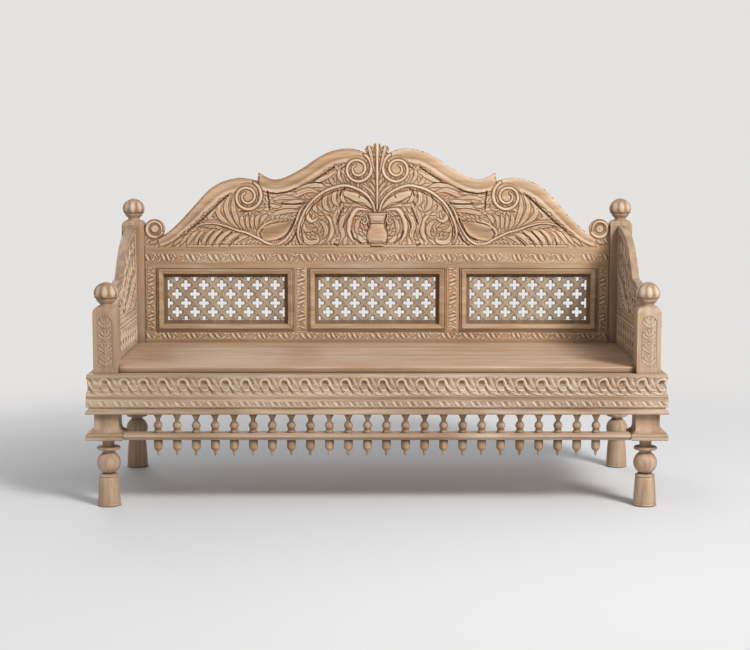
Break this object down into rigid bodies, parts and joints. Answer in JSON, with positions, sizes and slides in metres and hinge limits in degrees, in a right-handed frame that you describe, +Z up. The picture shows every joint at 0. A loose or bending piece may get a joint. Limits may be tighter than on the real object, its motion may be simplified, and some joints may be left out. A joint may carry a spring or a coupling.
{
  "type": "carved wooden bench",
  "caption": "Long carved hardwood bench with a scrolled crest, pierced back panels, curved arms, ball finials and a spindle gallery under the seat.",
  "frame": {"origin": "on the floor, under the middle of the base box", "axes": "+Z up; +X to the right of a person who looks at the front; -Y towards that person, so the seat faces -Y"},
  "size_m": [1.93, 0.81, 1.208],
  "materials": {
    "carved_wood": "matt, washed carving",
    "turned_wood": "matt, washed turning",
    "seat_wood": "satin, planed boards",
    "frame_wood": "matt, sawn and planed"
  },
  "bodies": {
    "root": {"foot_front_left": "turned_wood", "foot_front_right": "turned_wood", "foot_back_left": "turned_wood", "foot_back_right": "turned_wood", "plinth_front_left": "carved_wood", "plinth_front_right": "carved_wood", "plinth_back_left": "carved_wood", "plinth_back_right": "carved_wood", "post_front_left": "carved_wood", "post_front_right": "carved_wood", "post_back_left": "carved_wood", "post_back_right": "carved_wood", "finial_front_left": "turned_wood", "finial_front_right": "turned_wood", "finial_back_left": "turned_wood", "finial_back_right": "turned_wood", "frieze_front": "carved_wood", "frieze_back": "carved_wood", "frieze_left": "carved_wood", "frieze_right": "carved_wood", "rail_front": "frame_wood", "rail_back": "frame_wood", "rail_left": "frame_wood", "rail_right": "frame_wood", "lower_rail": "carved_wood", "spindles": "turned_wood", "pendants": "turned_wood", "seat_board_1": "seat_wood", "seat_board_2": "seat_wood", "seat_board_3": "seat_wood", "seat_board_4": "seat_wood", "seat_board_5": "seat_wood", "seat_board_6": "seat_wood", "bearer_left": "frame_wood", "bearer_centre": "frame_wood", "bearer_right": "frame_wood", "ledger_left": "frame_wood", "ledger_right": "frame_wood", "arm_left": "carved_wood", "arm_right": "carved_wood", "back_bottom_rail": "carved_wood", "back_top_rail": "carved_wood", "stile_outer_left": "carved_wood", "stile_inner_left": "carved_wood", "stile_inner_right": "carved_wood", "stile_outer_right": "carved_wood", "jali_left": "carved_wood", "jali_centre": "carved_wood", "jali_right": "carved_wood", "moulding_left": "carved_wood", "moulding_centre": "carved_wood", "moulding_right": "carved_wood", "crest": "carved_wood", "crest_dowels": "frame_wood"}
  },
  "joints": []
}
